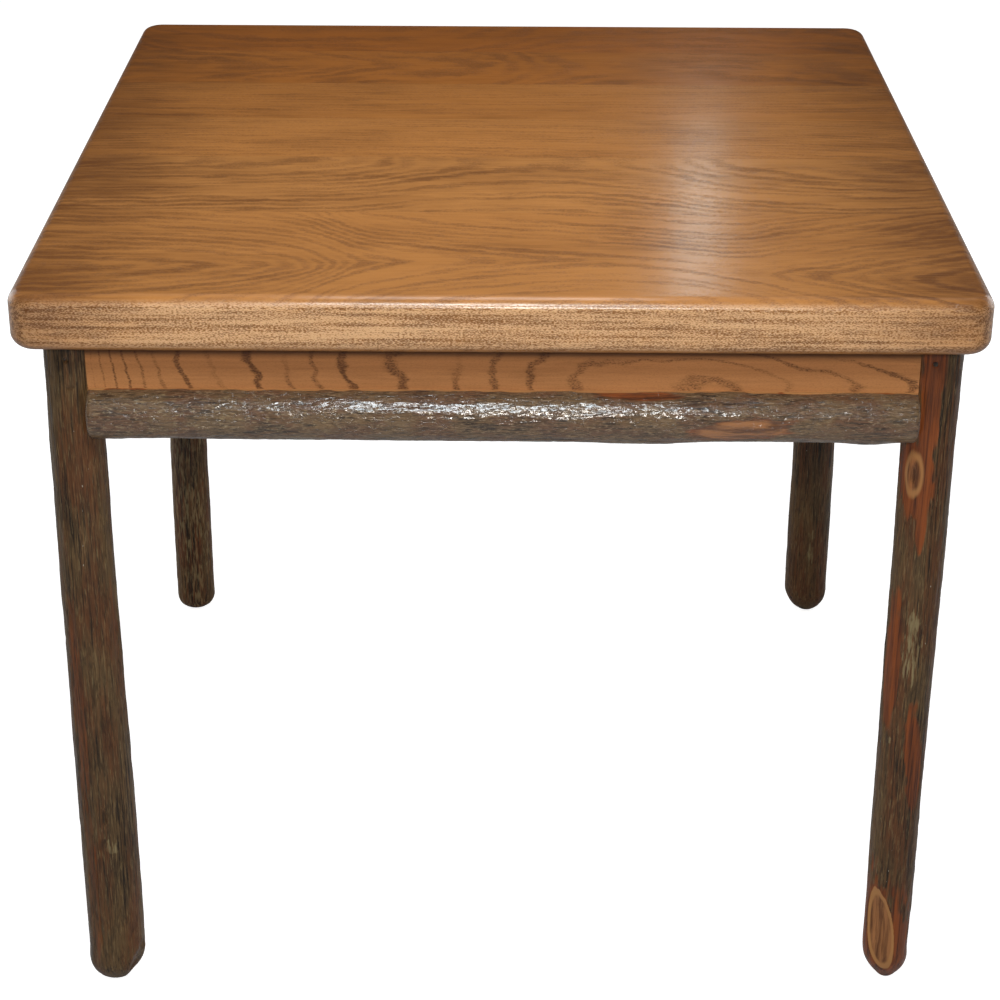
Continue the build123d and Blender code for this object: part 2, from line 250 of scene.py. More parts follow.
@dataclass
class Finish:
    """The colours of a stained board and how its varnish shines.

    ring says at which shares of a year's growth its dark band is full, starts to fade and ends.
    fray is how far fibres carry the band's edge, and figure how strong the soft patches are.
    """

    light: tuple
    dark: tuple
    pore: tuple
    edge: tuple
    pores: float = 0.5
    ring: tuple = (0.30, 0.35, 0.85)
    ring_depth: float = 0.5
    fray: float = 0.3
    figure: float = 0.2
    dash_length: float = 0.005
    # Darkens both ends of each board: partly a darker stain, partly painted shade where the light
    # falls off towards the ends.
    end_stain_and_shade: float = 0.0
    coat: float = 1.0
    coat_roughness: float = 0.24


# How much faster the rings pass below a face than across it, and how far two noises move them.
RING_GAIN = 1.6
SWAY_GAIN = 3.2
RIPPLE_GAIN = 1.9
# The look of a face turns into that of an edge between these depths below it, where the rings fade.
FACE_DEPTH = 0.0015
EDGE_DEPTH = 0.009
RING_FADE = 0.8
# Painted shade under the top starts at the first of these distances below a board's corner, and is
# full at the second.
PAINTED_SHADE_FROM = 0.022
PAINTED_SHADE_FULL = 0.013
PAINTED_SHADE_SHARE = 0.75
BARE_SHARE = 0.7
OAK_ROUGHNESS = 0.42
OAK_RELIEF = 0.0001
OAK_SHINE = 0.06


@dataclass
class Spot:
    """Where the coloured point lies in its board, as wires.

    share runs from 0 to 1 along the board, aside is the distance across it from the log's middle,
    and inside the depth below its outer face.
    """

    along: Wire
    across: Wire
    through: Wire
    share: Wire
    aside: Wire
    inside: Wire


def board_spot(g, grain):
    along, across, through = g.place(grain.axes)
    start, stop = grain.length
    share = (along - start) / (stop - start)
    aside = across - g.profile(share, grain.pith)
    inside = g.math("ABSOLUTE", through - grain.face)
    return Spot(along, across, through, share, aside, inside)


def growth_rings(g, grain, spot):
    """How many growth rings a point is from its log's middle."""
    depth = g.profile(spot.share, grain.depth)
    below = depth + spot.inside * RING_GAIN
    radius = g.math("SQRT", spot.aside * spot.aside + below * below) - depth
    sway = g.noise(spot.along * 6 + grain.seed, spot.aside * 17, spot.inside * 17, detail=2)
    ripple = g.noise(spot.along * 32, spot.aside * 62 + grain.seed, spot.inside * 62, detail=3)
    shift = sway * (SWAY_GAIN * grain.wobble) + ripple * (RIPPLE_GAIN * grain.wobble)
    return (radius + g.profile(spot.share, grain.drift) + shift) / grain.spacing


def early_wood(g, grain, finish, spot):
    """The dark band of each year's growth, frayed by the fibres and fainter in some years."""
    comb = g.noise(spot.along * 55, spot.across * 520, spot.through * 520 + grain.seed, detail=2)
    rings = growth_rings(g, grain, spot) + comb * finish.fray
    phase = g.math("FRACT", rings)
    year = g.math("FLOOR", rings)
    lot = g.noise(year * 0.73 + grain.seed, spot.along * 5, spot.aside * 10, detail=1)
    return g.band(phase, 0.0, *finish.ring) * g.rise(lot, -0.3, 0.3)


def pore_dashes(g, finish, spot, early, edge, rows, blotch):
    """The fine dashes of the pores, and the pale wood between them on an edge."""
    place = spot.along / finish.dash_length
    dash = g.noise(place, spot.across * 1300, spot.through * 1300, detail=2)
    crowd = edge * (0.05 + rows * 0.5 + blotch * 0.25)
    pore = g.rise(dash + crowd + early * 0.08, 0.03, 0.12)
    pore = pore * (0.2 + 0.8 * g.math("MAXIMUM", edge, g.rise(early, 0.05, 0.5)))
    bare = edge * (1 - g.rise(dash + rows * 0.45, -0.12, 0.18))
    return pore, bare


def oak(name, grain, finish):
    """Stained and varnished oak: bands of pores along the rings, fibres and fine pore dashes.

    Between the board's two faces the rings fade, the wood is paler and the dashes are thick.
    """
    g = Graph(bpy.data.materials.new(name))
    spot = board_spot(g, grain)
    along, across, through = spot.along, spot.across, spot.through
    far = grain.thickness
    edge = g.band(spot.inside, FACE_DEPTH, EDGE_DEPTH, far - EDGE_DEPTH, far - FACE_DEPTH)
    early = early_wood(g, grain, finish, spot) * (1 - RING_FADE * edge)

    seed = grain.seed
    fibre = g.noise(along * 20, across * 380, through * 380 + seed, detail=4, roughness=0.6)
    mottle = g.noise(along * 4, across * 11 + seed, through * 11, detail=2)
    figure = g.noise(along * 14, across * 52 + seed, through * 52, detail=3)
    rows = g.noise(along * 9, across * 330 + seed, through * 330, detail=2)
    blotch = g.noise(along * 45, across * 110, through * 110 + seed, detail=3)
    pore, bare = pore_dashes(g, finish, spot, early, edge, rows, blotch)
    # Darker towards both ends: partly stain, partly painted shade where the light falls off.
    ends = g.rise(g.math("ABSOLUTE", spot.share - 0.5), 0.3, 0.5) * finish.end_stain_and_shade
    # Painted shade: darker just below the top's underside, where the top's shadow falls on the
    # aprons.
    painted_shade = g.rise(across, grain.corner - PAINTED_SHADE_FROM, grain.corner - PAINTED_SHADE_FULL)

    dark = early * (finish.ring_depth * grain.contrast) + fibre * 0.6 + mottle * 0.6 + ends
    dark = dark + figure * finish.figure
    dark = dark + edge * (rows * 1.3 + blotch * 0.7)
    tone = g.blend(g.rise(dark, -0.3, 1.0), grain.light or finish.light, finish.dark)
    tone = g.blend(bare * (BARE_SHARE - ends), tone, finish.edge)
    tone = g.blend(pore * (finish.pores + edge * 0.1), tone, finish.pore)
    # Painted shade under the top, in the pore colour.
    tone = g.blend(painted_shade * PAINTED_SHADE_SHARE, tone, finish.pore)
    height = fibre * 0.4 - pore * 0.7
    return g.finish(
        tone, OAK_ROUGHNESS + fibre * 0.2, height, OAK_RELIEF,
        Coat_Weight=finish.coat, Coat_Roughness=finish.coat_roughness, Specular_IOR_Level=OAK_SHINE,
    )


TOP_FINISH = Finish(
    colour(184, 124, 63), colour(108, 64, 28), colour(86, 48, 24), colour(229, 185, 140),
    pores=0.34, ring=(0.32, 0.55, 1.0), ring_depth=0.4, fray=0.8, figure=0.8,
    dash_length=0.0022, end_stain_and_shade=0.42, coat=0.75, coat_roughness=0.19,
)
APRON_FINISH = Finish(
    colour(190, 129, 79), colour(96, 58, 34), colour(74, 46, 30), colour(190, 132, 82),
    pores=0.66, ring=(0.11, 0.16, 0.3), ring_depth=0.55, fray=0.1, dash_length=0.0022,
    coat=0.2, coat_roughness=0.35,
)
PLAIN_FINISH = Finish(
    colour(196, 160, 112), colour(150, 112, 70), colour(110, 80, 50), colour(196, 160, 112),
    coat=0.0,
)

TOP_LENGTH = (CAD_BOX[0].x, CAD_BOX[1].x)
TOP_FACE = CAD_BOX[1].z
TOP_THICKNESS = 0.053


def top_board_grain(pith, depth, drift, **others):
    return Grain("XYZ", TOP_LENGTH, TOP_FACE, TOP_THICKNESS, pith, depth, drift, **others)


# The boards from the back to the front.
TOP_GRAINS = (
    top_board_grain(
        ((0, 0.48), (0.5, 0.45), (1, 0.47)),
        ((0, 0.06), (1, 0.05)),
        ((0, 0.05), (0.25, 0), (0.5, 0.05), (0.65, 0.09), (1, 0.02)),
        spacing=0.022, wobble=0.012, contrast=0.55, seed=1.3, light=colour(171, 101, 40),
    ),
    top_board_grain(
        ((0, 0.26), (0.5, 0.275), (1, 0.25)),
        ((0, 0.03), (0.3, 0.02), (0.5, 0.05), (1, 0.04)),
        ((0, 0), (0.2, 0.04), (0.36, 0.10), (0.45, 0.115), (0.62, 0.19), (0.8, 0.20), (1, 0.17)),
        spacing=0.022, wobble=0.014, contrast=0.7, seed=7.7, light=colour(176, 108, 46),
    ),
    top_board_grain(
        ((0, 0.02), (1, 0.03)),
        ((0, 0.09), (1, 0.10)),
        ((0, 0), (0.5, 0.01), (1, 0)),
        spacing=0.007, wobble=0.004, contrast=0.3, seed=3.1, light=colour(181, 117, 56),
    ),
    top_board_grain(
        ((0, -0.09), (1, -0.11)),
        ((0, 0.08), (1, 0.09)),
        ((0, 0), (0.5, -0.01), (1, 0.01)),
        spacing=0.006, wobble=0.004, contrast=0.3, seed=11.9, light=colour(183, 121, 61),
    ),
    top_board_grain(
        ((0, -0.075), (0.5, -0.068), (1, -0.08)),
        ((0, 0.01), (0.3, 0.04), (0.55, 0.09), (0.62, 0.09), (1, 0.02)),
        ((0, 0), (0.3, 0.03), (0.55, 0.085), (0.62, 0.08), (0.8, 0.04), (1, 0.02)),
        spacing=0.0105, wobble=0.006, contrast=0.9, seed=5.2, light=colour(182, 123, 65),
    ),
    top_board_grain(
        ((0, -0.385), (0.3, -0.37), (0.56, -0.356), (0.8, -0.395), (1, -0.40)),
        ((0, 0.02), (0.3, 0.012), (0.56, 0.006), (0.78, 0.01), (1, 0.02)),
        (
            (0, 0), (0.25, 0.03), (0.37, 0.105), (0.56, 0.15),
            (0.66, 0.156), (0.74, 0.152), (0.8, 0.132), (1, 0.07),
        ),
        spacing=0.012, wobble=0.006, contrast=0.9, seed=9.4, light=colour(177, 118, 61),
    ),
)


def apron_grain(axes, length, face, thickness, corner, seed):
    """An apron's grain: steep rings near one end, arches in the middle and then long slopes."""
    return Grain(
        axes, length, face, thickness,
        pith=((0, 0.687), (0.3, 0.682), (0.5, 0.672), (0.74, 0.660), (1, 0.662)),
        depth=((0, 0.12), (0.45, 0.11), (0.62, 0.06), (0.74, 0.03), (1, 0.03)),
        drift=(
            (0, 0.25), (0.08, 0.15), (0.14, 0.121), (0.24, 0.094), (0.35, 0.06), (0.45, 0.044),
            (0.52, 0.0275), (0.6, 0.011), (0.7, 0.002), (0.74, 0), (0.85, 0.015), (1, 0.04),
        ),
        spacing=0.011, wobble=0.0035, seed=seed, corner=corner,
    )


# ---- hickory, which is shaped in millimetres ----


@dataclass
class Mark:
    """One feature of the bark: a rough oval, by where it is round the stick and along it.

    turn and half_turn are in degrees and the rest in millimetres. lean is how far the oval's middle
    turns per millimetre along, and tilt how far it moves along per degree of turn.
    """

    kind: str
    turn: float
    along: float
    half_turn: float
    half_along: float
    amount: float = 1.0
    lean: float = 0.0
    tilt: float = 0.0
    ragged: float = 0.22

    def distance(self, turn, along):
        """0 in the oval's middle and 1 on its outline."""
        aside = (turn - self.turn - self.lean * (along - self.along) + 180) % 360 - 180
        ahead = along - self.along + self.tilt * aside
        return np.hypot(aside / self.half_turn, ahead / self.half_along)


BARK_THICKNESS = 0.9
HEART_DEPTH = 4.6
# So far from a knot that nothing of it shows.
NO_KNOT = 9.0
SWELL_HEIGHT = 0.9
RIDGE_HEIGHT = 0.34
FURROW_DEPTH = 0.45
# How much smoother the wood is than the bark over it.
BARE_SMOOTHNESS = 0.65
# A mark is whole inside the first distance and gone outside the second.
MARK_FADE = (0.72, 1.14)
SHARP_ANGLE = 60.0
# What the mesh's points show where a stick was sawn through.
CUT_WOOD = {"peel": HEART_DEPTH, "furrow": 0.0, "knot": NO_KNOT, "pale": 0.0, "wood": 0.0}


def bark_surface(turn, along, radius, marks, seed, fibre_height, wart_height):
    """How far natural bark stands out from a smooth stick, and what shows at each point."""
    angle = np.radians(turn)
    points = np.stack([radius * np.cos(angle), radius * np.sin(angle), along], axis=-1)
    lumps = noise(points, (38, 38, 120), seed)
    ridges = noise(points, (5, 5, 50), seed + 1)
    fibres = noise(points, (2.6, 2.6, 15), seed + 2)
    warts = noise(points, (2.2, 2.2, 3.6), seed + 6)
    ragged = noise(points, (3.5, 3.5, 12), seed + 4)
    cracks = 1 - smooth(np.abs(noise(points, (6, 6, 34), seed + 3)), 0.02, 0.14)
    cracks *= smooth(noise(points, (9, 9, 22), seed + 5) + 0.4 * ragged, 0.0, 0.5)

    shown = {kind: np.zeros_like(along) for kind in ("peel", "pale", "wood")}
    shown["knot"] = np.full_like(along, NO_KNOT)
    shown["furrow"] = cracks * (0.5 + 0.5 * smooth(lumps, -0.4, 0.6))
    swell = SWELL_HEIGHT * lumps
    for mark in marks:
        distance = mark.distance(turn, along)
        cover = 1 - smooth(distance + mark.ragged * ragged, *MARK_FADE)
        dome = np.clip(1 - distance ** 2, 0, 1) ** 2
        if mark.kind in ("peel", "pale", "wood"):
            shown[mark.kind] = np.maximum(shown[mark.kind], mark.amount * cover)
        elif mark.kind == "knot":
            shown["knot"] = np.minimum(shown["knot"], distance + 0.05 * ragged)
            swell += mark.amount * (dome - 2 * np.clip(1 - (2.5 * distance) ** 2, 0, 1))
        elif mark.kind == "crack":
            shown["furrow"] = np.maximum(shown["furrow"], cover)
            swell -= mark.amount * cover
        else:
            swell += mark.amount * dome

    bare = np.minimum(np.maximum(shown["peel"], shown["wood"]), 1)
    shown["furrow"] *= 1 - 0.8 * bare
    rough = RIDGE_HEIGHT * ridges + fibre_height * fibres + wart_height * warts
    rough -= FURROW_DEPTH * shown["furrow"]
    return swell + rough * (1 - BARE_SMOOTHNESS * bare) - BARK_THICKNESS * bare, shown


def with_cut_wood(shown, rows=(0, 0), columns=(0, 0)):
    """What shows, with this many rows and columns of cut wood before and after it."""
    return {
        key: np.pad(values, (rows, columns), constant_values=CUT_WOOD[key])
        for key, values in shown.items()
    }


def loft(name, rings, shown, material):
    """A closed mesh through rings of points in millimetres, with a number shown at each point."""
    rings = np.array(rings)
    rows, columns = rings.shape[:2]
    corner = np.arange(rows * columns).reshape(rows, columns)
    beside = np.roll(corner, -1, axis=1)
    sides = np.stack([corner[:-1], beside[:-1], beside[1:], corner[1:]], axis=-1).reshape(-1, 4)
    faces = [*sides.tolist(), corner[0, ::-1].tolist(), corner[-1].tolist()]
    mesh = bpy.data.meshes.new(name)
    mesh.from_pydata((rings.reshape(-1, 3) * MM).tolist(), [], faces)
    for key, values in shown.items():
        layer = mesh.attributes.new(key, "FLOAT", "POINT")
        layer.data.foreach_set("value", np.array(values, np.float32).ravel())
    mesh.shade_smooth()
    mesh.set_sharp_from_angle(angle=radians(SHARP_ANGLE))
    mesh.materials.append(material)
    piece = bpy.data.objects.new(name, mesh)
    bpy.context.scene.collection.objects.link(piece)
    return piece


def dress(piece, node):
    """The piece stands for a CAD node and rides where it does."""
    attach(piece, "root")
    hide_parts(node)


# ---- poles ----

# How high the feet of the CAD poles are rounded.
CAD_FOOT_ROUND = 26.0
POLE_COLUMNS = 144
POLE_FIBRES = 0.35
POLE_WARTS = 0.12
POLE_STEP = 2.6
# Up to this height a pole's rings are closer together, and none are closer than the least step.
FOOT_FINE = 8.0
FOOT_STEP = 0.8
LEAST_STEP = 0.3
# The bark's relief grows from nothing at the sole to all of it at this height.
SOLE_FADE = 6.0
SOLE_SHARES = (0.15, 0.45, 0.75)
# How many times the height of its rounding a foot leans towards its sole's place.
TOE_REACH = 1.5
# The nails through each pole: one across the front or back, and a lower one across the side.
NAIL_X = 388.0
NAIL_Y = 394.0
HIGH_NAIL = 689.0
LOW_NAIL = 659.0
NAIL_STRETCH = 4.5
NAIL_STEP = 0.9
NAIL_POLE_RADIUS = 24.0
# The hollow over a nail's head: half its degrees round the pole, half its height, and its relief.
NAIL_HOLLOW = (8.0, 3.4, -1.6)
# A drawknife's cut is flat up to this cosine, and shows its wood fully from this depth.
LEAST_FACING = 0.3
FULL_CUT = 0.3


@dataclass
class Scoop:
    """A shallow cut of a drawknife: where it is round the pole and up it, and its size.

    turn is in degrees, lean in degrees per millimetre up, and the rest in millimetres.
    """

    turn: float
    middle: float
    half_height: float
    depth: float
    lean: float


@dataclass
class Pole:
    """A leg's marks and its foot, in millimetres.

    corner says on which side of the table's middle it stands, to the right and to the back.
    foot_shift is how far its foot stands to the right of its top's line, and toe how far its sole
    lies off its foot. The foot is rounded up to foot_round, round a flat with the radius foot_flat.
    """

    corner: tuple
    seed: int
    marks: tuple = ()
    foot_shift: float = 0.0
    foot_round: float = 26.0
    foot_flat: float = 9.0
    toe: tuple = (0.0, 0.0)
    scoop: Scoop = None


POLES = {
    "leg_front_left": Pole(
        (-1, -1), 11,
        marks=(
            Mark("peel", -25, 420, 13, 50, 0.5),
            Mark("peel", -124, 330, 16, 130, 0.46),
            Mark("peel", -124, 130, 14, 115, 0.5),
            Mark("swell", -88, 205, 20, 20, 1.0),
            Mark("crack", -87, 205, 4, 9, 1.6, ragged=0.5),
            Mark("pale", -78, 173, 16, 9, 0.7, ragged=0.6),
            Mark("crack", -113, 100, 1.8, 66, 0.9),
            Mark("crack", -124, 218, 2.5, 16, 0.8),
            Mark("chip", -12, 40, 22, 9, -2.5),
            Mark("chip", -24, 17, 36, 27, -8.0),
        ),
        foot_shift=1.0,
        foot_round=27.0,
        foot_flat=12.0,
        toe=(-3.0, 3.0),
    ),
    "leg_front_right": Pole(
        (1, -1), 23,
        marks=(
            Mark("peel", -103, 700, 27, 170, 1.0),
            Mark("peel", -125, 575, 52, 42, 1.0),
            Mark("peel", -101, 530, 12, 38, 1.0),
            Mark("knot", -128, 578, 24, 24, 1.0),
            Mark("peel", -145, 380, 28, 82, 0.9),
            Mark("peel", -69, 275, 23, 68, 1.0, lean=-0.24),
            Mark("pale", -98, 398, 26, 46, 0.9),
            Mark("pale", -130, 294, 5, 6, 1.0),
            Mark("peel", -100, 0, 200, 131, 1.0, tilt=0.43),
        ),
        foot_shift=1.0,
        foot_round=34.0,
        foot_flat=8.0,
        toe=(5.0, 9.0),
        scoop=Scoop(-118, 71, 55, 6.2, -0.36),
    ),
    "leg_back_left": Pole(
        (-1, 1), 37,
        marks=(
            Mark("peel", -95, 380, 9, 80, 0.45),
            # A wide peeled and pale patch over the pole's front: paler bark, and partly painted
            # light that lifts the side the lamps leave dim.
            Mark("peel", -95, 230, 70, 320, 0.3, ragged=0.7),
            Mark("pale", -88, 230, 75, 300, 0.8, ragged=0.8),
            Mark("knot", 60, 430, 14, 12, 0.8),
            Mark("peel", 60, 430, 22, 30, 0.9),
        ),
        foot_shift=-4.0,
        foot_round=16.0,
        foot_flat=12.0,
    ),
    "leg_back_right": Pole(
        (1, 1), 51,
        marks=(
            Mark("peel", -60, 300, 10, 90, 0.45),
            Mark("pale", -88, 95, 10, 34, 0.8, ragged=0.5),
            Mark("peel", 100, 480, 20, 70, 1.0),
        ),
        foot_shift=4.5,
        foot_round=30.0,
        foot_flat=10.0,
        toe=(2.5, 2.0),
    ),
}


def measured_pole(node):
    """A CAD pole's centre, and its radii at the top and just above the eased foot."""
    low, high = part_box(node)
    centre = np.array((low + high) / 2)[:2] / MM
    points = np.array([vertex.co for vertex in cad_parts[node].data.vertices]) / MM
    radii = np.hypot(*(points[:, :2] - centre).T)
    foot = radii[np.abs(points[:, 2] - CAD_FOOT_ROUND) < 1].max()
    height = high.z / MM
    top = radii[points[:, 2] > height - 1].max()
    return centre, foot, top, height


def foot_easing(spec, foot, heights):
    """How much narrower the foot is at each height, from an arc that ends at the sole's edge."""
    width = foot - spec.foot_flat
    arc = (width ** 2 + spec.foot_round ** 2) / (2 * width)
    below = np.clip(spec.foot_round - heights, 0, None)
    return arc - np.sqrt(np.maximum(arc ** 2 - below ** 2, 0))


def pole_heights(height):
    """The heights of a pole's rings, closer together at the foot's edge and at the nails."""
    fine = np.arange(0, FOOT_FINE, FOOT_STEP)
    stretches = [fine, np.arange(FOOT_FINE, height, POLE_STEP), [height]]
    for nail in (HIGH_NAIL, LOW_NAIL):
        stretches.append(np.arange(nail - NAIL_STRETCH, nail + NAIL_STRETCH, NAIL_STEP))
    heights = np.unique(np.round(np.concatenate(stretches), 2))
    return heights[np.append(True, np.diff(heights) > LEAST_STEP)]


def nail_marks(corner, centre):
    """Hollows in the bark over the two nail heads of a pole."""
    side_x, side_y = corner
    across = np.array([side_x * NAIL_X - centre[0], side_y * NAIL_Y - centre[1]])
    reach = [sqrt(NAIL_POLE_RADIUS ** 2 - distance ** 2) for distance in across]
    front_turn = np.degrees(np.arctan2(side_y * reach[0], across[0]))
    side_turn = np.degrees(np.arctan2(across[1], side_x * reach[1]))
    return [
        Mark("nail", front_turn, HIGH_NAIL, *NAIL_HOLLOW),
        Mark("nail", side_turn, LOW_NAIL, *NAIL_HOLLOW),
    ]


def cut_scoop(scoop, turn, along, radius, smooth_radius, shown):
    """The radius after the drawknife's cut, where the wood inside shows."""
    share = (along - scoop.middle) / scoop.half_height
    aside = (turn - scoop.turn - scoop.lean * (along - scoop.middle) + 180) % 360 - 180
    facing = np.maximum(np.cos(np.radians(aside)), LEAST_FACING)
    flat = (smooth_radius - scoop.depth * (1 - share ** 2)) / facing
    move = np.where(np.abs(share) < 1, np.clip(radius - flat, 0, None), 0)
    cut = smooth(move, 0.0, FULL_CUT)
    shown["peel"] = np.maximum(shown["peel"], np.where(cut > 0, BARK_THICKNESS + move, 0))
    shown["furrow"] *= 1 - cut
    return radius - move


def pole(node, spec, material):
    """A hickory pole with its bark, in place of a smooth CAD pole."""
    centre, foot, top, height = measured_pole(node)
    heights = pole_heights(height)
    turns = np.linspace(-180, 180, POLE_COLUMNS, endpoint=False)
    turn, along = np.meshgrid(turns, heights)
    radius = foot + (top - foot) * (along - CAD_FOOT_ROUND) / (height - CAD_FOOT_ROUND)
    marks = [*spec.marks, *nail_marks(spec.corner, centre)]
    relief, shown = bark_surface(turn, along, radius, marks, spec.seed, POLE_FIBRES, POLE_WARTS)
    eased = radius - foot_easing(spec, foot, along)
    radius = eased + relief * smooth(along, 0, SOLE_FADE)
    if spec.scoop:
        radius = cut_scoop(spec.scoop, turn, along, radius, eased, shown)

    angle = np.radians(turn)
    lean = spec.foot_shift * (1 - smooth(along, 0, LOW_NAIL))
    toed = 1 - smooth(along, 0, TOE_REACH * spec.foot_round)
    points = np.stack([
        centre[0] + lean + spec.toe[0] * toed + radius * np.cos(angle),
        centre[1] + spec.toe[1] * toed + radius * np.sin(angle),
        along,
    ], axis=-1)
    sole_centre = np.array([centre[0] + spec.foot_shift + spec.toe[0], centre[1] + spec.toe[1], 0])
    sole = [sole_centre + (points[0] - sole_centre) * share for share in SOLE_SHARES]
    shown = with_cut_wood(shown, rows=(len(sole), 0))
    piece = loft(node.replace("leg", "pole"), [*sole, *points], shown, material)
    dress(piece, node)


# ---- rails ----

RAIL_COLUMNS = 120
RAIL_BACK_COLUMNS = 10
RAIL_STEP = 2.0
RAIL_FIBRES = 0.32
RAIL_WARTS = 0.16
RAIL_END_ROUND = 4.0
RAIL_END_RINGS = 6
END_SHARES = (0.15, 0.45, 0.75, 0.93)
# Beside the flat back the bark keeps this share of its relief, over this many degrees.
RAIL_LIP = 0.35
RAIL_LIP_TURN = 8.0


@dataclass
class Rail:
    """A half-round rail: which way its bark faces, and the marks on it."""

    outwards: tuple
    seed: int
    marks: tuple = ()


RAILS = {
    "rail_front": Rail(
        (0, -1), 61,
        marks=(
            Mark("peel", -14, 216, 34, 50, 0.7, tilt=-0.5, ragged=0.2),
            Mark("wood", -13, 216, 29, 43, 1.0, tilt=-0.5, ragged=0.1),
            Mark("swell", -8, 238, 20, 14, 0.9),
            Mark("peel", 93, 0, 11, 600, 1.8, ragged=0.35),
            Mark("peel", 72, 124, 16, 42, 1.0),
            # A pale lichen patch over the rail's left end: partly real, partly painted light where
            # the light falls on that end.
            Mark("pale", 15, -300, 60, 190, 0.42, ragged=0.9),
            Mark("swell", -80, 130, 45, 70, 2.0),
            Mark("swell", -80, 330, 45, 35, 2.2),
            Mark("swell", -80, -300, 45, 70, -1.2),
            Mark("swell", 90, 200, 40, 60, 1.5),
        ),
    ),
    "rail_right": Rail(
        (1, 0), 73,
        marks=(
            Mark("knot", 20, 120, 16, 14, 1.0),
            Mark("peel", 20, 120, 26, 30, 1.0),
        ),
    ),
    "rail_back": Rail((0, 1), 87, marks=(Mark("peel", -10, -190, 24, 50, 1.2),)),
    "rail_left": Rail((-1, 0), 95, marks=(Mark("peel", 50, 160, 20, 60, 1.0),)),
}


def rail_places(start, stop):
    """Where a rail's rings lie along it, closer together at its rounded ends."""
    easing = RAIL_END_ROUND * (1 - np.cos(np.linspace(0, pi / 2, RAIL_END_RINGS)))
    steps = int((stop - start) / RAIL_STEP)
    middle = np.linspace(start + RAIL_END_ROUND, stop - RAIL_END_ROUND, steps)[1:-1]
    return np.concatenate([start + easing, middle, (stop - easing)[::-1]])


def rail_relief(spec, turn, along, radius, ends):
    """How far a rail's bark stands out from its axis, and what shows at each point."""
    start, stop = ends
    radii = np.full_like(along, radius)
    relief, shown = bark_surface(turn, along, radii, spec.marks, spec.seed, RAIL_FIBRES, RAIL_WARTS)
    from_end = np.clip(np.minimum(along - start, stop - along), 0, RAIL_END_ROUND)
    eased = RAIL_END_ROUND - np.sqrt(RAIL_END_ROUND ** 2 - (RAIL_END_ROUND - from_end) ** 2)
    settled = RAIL_LIP + (1 - RAIL_LIP) * smooth(90 - np.abs(turn), 0, RAIL_LIP_TURN)
    return radius + relief * settled * smooth(from_end, 0, RAIL_END_ROUND) - eased, shown


def with_back(along, out, up):
    """The rings of a rail's bark, closed by its flat back."""
    share = np.linspace(1, 0, RAIL_BACK_COLUMNS + 2)[1:-1]
    back_up = up[:, -1:] * share + up[:, :1] * (1 - share)
    along = np.hstack([along, np.repeat(along[:, :1], RAIL_BACK_COLUMNS, 1)])
    return along, np.hstack([out, np.zeros_like(back_up)]), np.hstack([up, back_up])


def rail(node, spec, material):
    """A half-round hickory rail with its bark, in place of a smooth CAD rail."""
    low, high = (np.array(corner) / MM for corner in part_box(node))
    outwards = np.array([*spec.outwards, 0.0])
    sideways = np.array([-outwards[1], outwards[0], 0.0])
    upwards = np.array([0, 0, 1])
    back = min(low @ outwards, high @ outwards)
    ends = sorted([low @ sideways, high @ sideways])
    radius = (high[2] - low[2]) / 2
    axis = back * outwards + (low[2] + radius) * upwards

    turn, along = np.meshgrid(np.linspace(-90, 90, RAIL_COLUMNS), rail_places(*ends))
    size, shown = rail_relief(spec, turn, along, radius, ends)
    angle = np.radians(turn)
    along, out, up = with_back(along, size * np.cos(angle), size * np.sin(angle))
    rings = axis + along[..., None] * sideways + out[..., None] * outwards + up[..., None] * upwards

    start, stop = (rings[end].mean(axis=0) for end in (0, -1))
    first = [start + (rings[0] - start) * share for share in END_SHARES]
    last = [stop + (rings[-1] - stop) * share for share in END_SHARES[::-1]]
    shown = with_cut_wood(shown, rows=(len(first), len(last)), columns=(0, RAIL_BACK_COLUMNS))
    piece = loft(node + "_bark", [*first, *rings, *last], shown, material)
    dress(piece, node)


# ---- bark material ----


@dataclass
class BarkLook:
    """The colours of a stick's bark, and how its varnish shines.

    chop makes its streaks that many times shorter.
    """

    dark: tuple
    olive: tuple
    russet: tuple
    pale: tuple
    coat: float
    shine: float
    chop: float


POLE_LOOK = BarkLook(
    colour(34, 25, 17), colour(95, 72, 45), colour(94, 58, 33), colour(140, 115, 78),
    coat=0.35, shine=0.04, chop=0.6,
)
RAIL_LOOK = BarkLook(
    colour(44, 31, 22), colour(109, 84, 57), colour(100, 69, 47), colour(172, 144, 110),
    coat=0.8, shine=0.25, chop=2.0,
)
CRACK_TONE = colour(22, 16, 11)
# Near-white of the flecks: partly lichen, partly painted glints of the varnish.
LICHEN_AND_GLINT_TONE = colour(206, 198, 178)
MOSS_TONE = colour(142, 126, 90)
INNER_BARK_DARK = colour(58, 32, 21)
INNER_BARK_LIGHT = colour(130, 67, 30)
KNOT_HEART = colour(56, 34, 22)
SAPWOOD_TONE = colour(166, 116, 68)
HEART_DARK = colour(92, 56, 32)
HEART_LIGHT = colour(154, 102, 61)
BARK_ROUGHNESS = 0.55
BARK_COAT_ROUGHNESS = 0.15
BARK_RELIEF = 0.001
STEEL_ROUGHNESS = 0.38
STEEL_RELIEF = 0.00005


